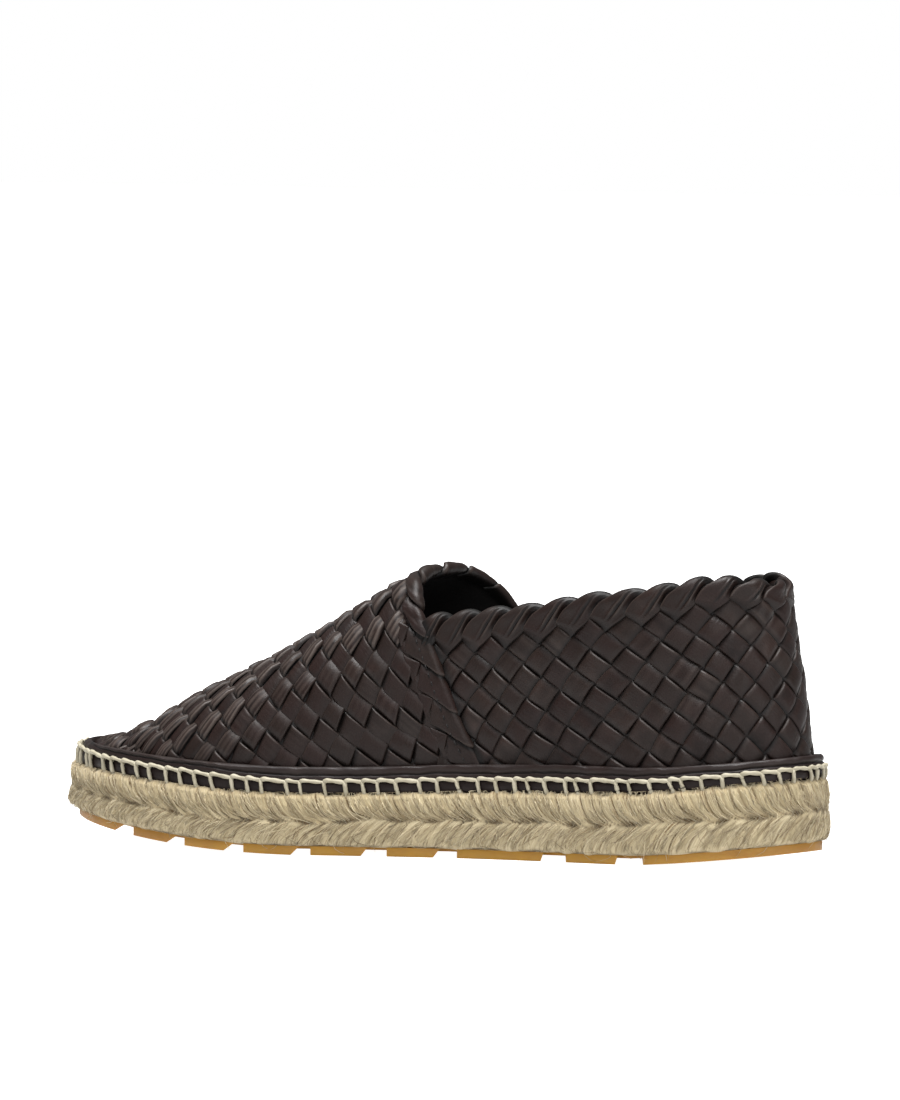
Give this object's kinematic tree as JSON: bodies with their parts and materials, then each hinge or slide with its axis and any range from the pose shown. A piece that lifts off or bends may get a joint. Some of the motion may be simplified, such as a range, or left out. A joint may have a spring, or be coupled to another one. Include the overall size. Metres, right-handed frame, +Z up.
{
  "type": "espadrille",
  "caption": "Slip-on espadrille for a right foot: woven leather upper on a braided jute sole, with a leather rand and a lugged gum outsole.",
  "frame": {"origin": "on the floor under the middle of the shoe's box", "axes": "+X to the toe, +Y to the inner side of the foot, +Z up"},
  "size_m": [0.2788, 0.0971, 0.0963],
  "materials": {
    "gum": "translucent amber gum rubber, satin",
    "jute": "coarse natural jute, matt, with loose fibres",
    "rand_leather": "dark brown leather, satin",
    "footbed": "black lining leather, matt",
    "woven_leather": "dark brown woven leather straps, satin"
  },
  "bodies": {
    "root": {"outsole": "gum", "midsole": "jute", "rand": "rand_leather", "insole": "footbed", "upper": "woven_leather"}
  },
  "joints": []
}
